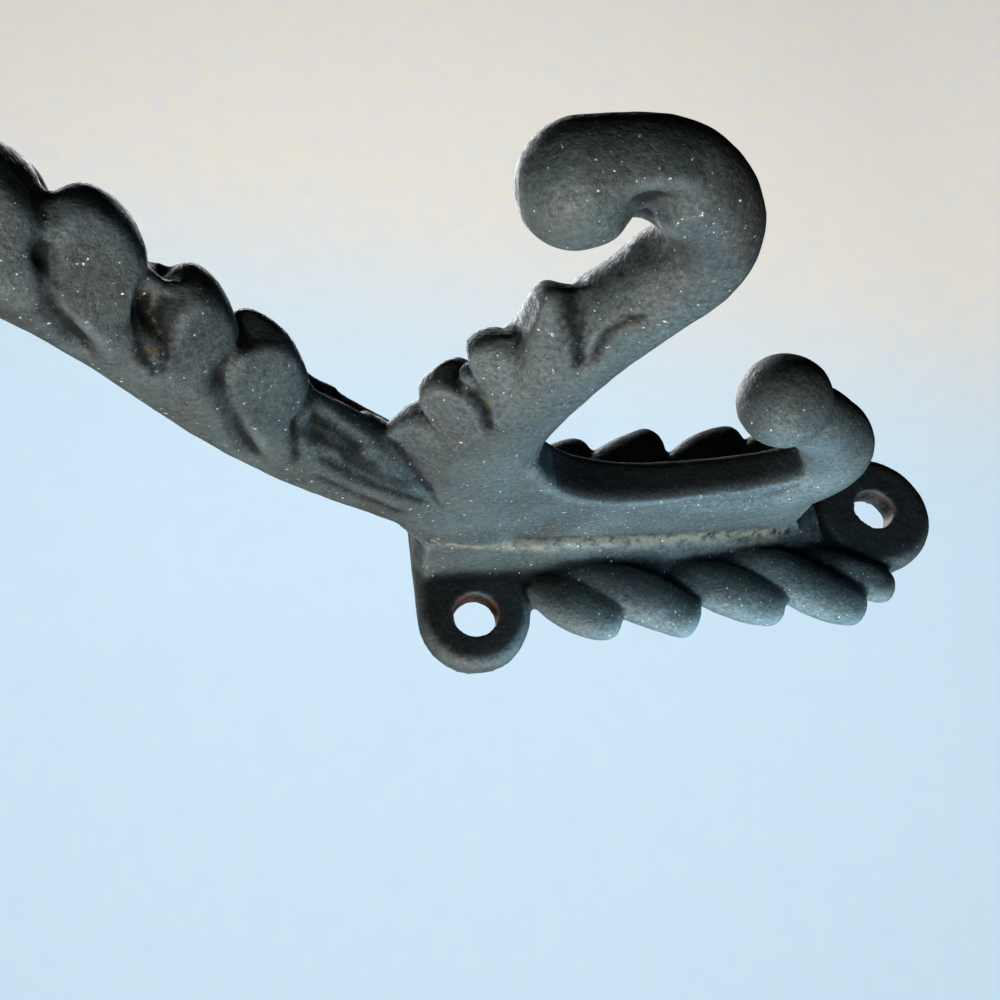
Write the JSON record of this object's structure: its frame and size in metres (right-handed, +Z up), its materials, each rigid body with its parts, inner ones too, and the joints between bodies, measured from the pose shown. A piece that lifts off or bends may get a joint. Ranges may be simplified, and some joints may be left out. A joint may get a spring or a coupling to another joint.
{
  "type": "triple wall hook",
  "caption": "Cast iron wall hook with a leaf-shaped screw plate, a long upper arm for a hat, a curled middle hook and a small ball-ended lower hook.",
  "frame": {"origin": "middle of the plate's back, on the wall, midway up the plate", "axes": "+Z up the wall, +Y into the wall, +X across the plate to the right of someone who faces the wall; the hooks stand out towards -Y"},
  "size_m": [0.0292, 0.0717, 0.1187],
  "materials": {
    "painted_iron": "satin black paint over sand-cast iron, rubbed thin along the edges, with dust and a little rust at the screw holes"
  },
  "bodies": {
    "root": {"hook_casting": "painted_iron"}
  },
  "joints": []
}
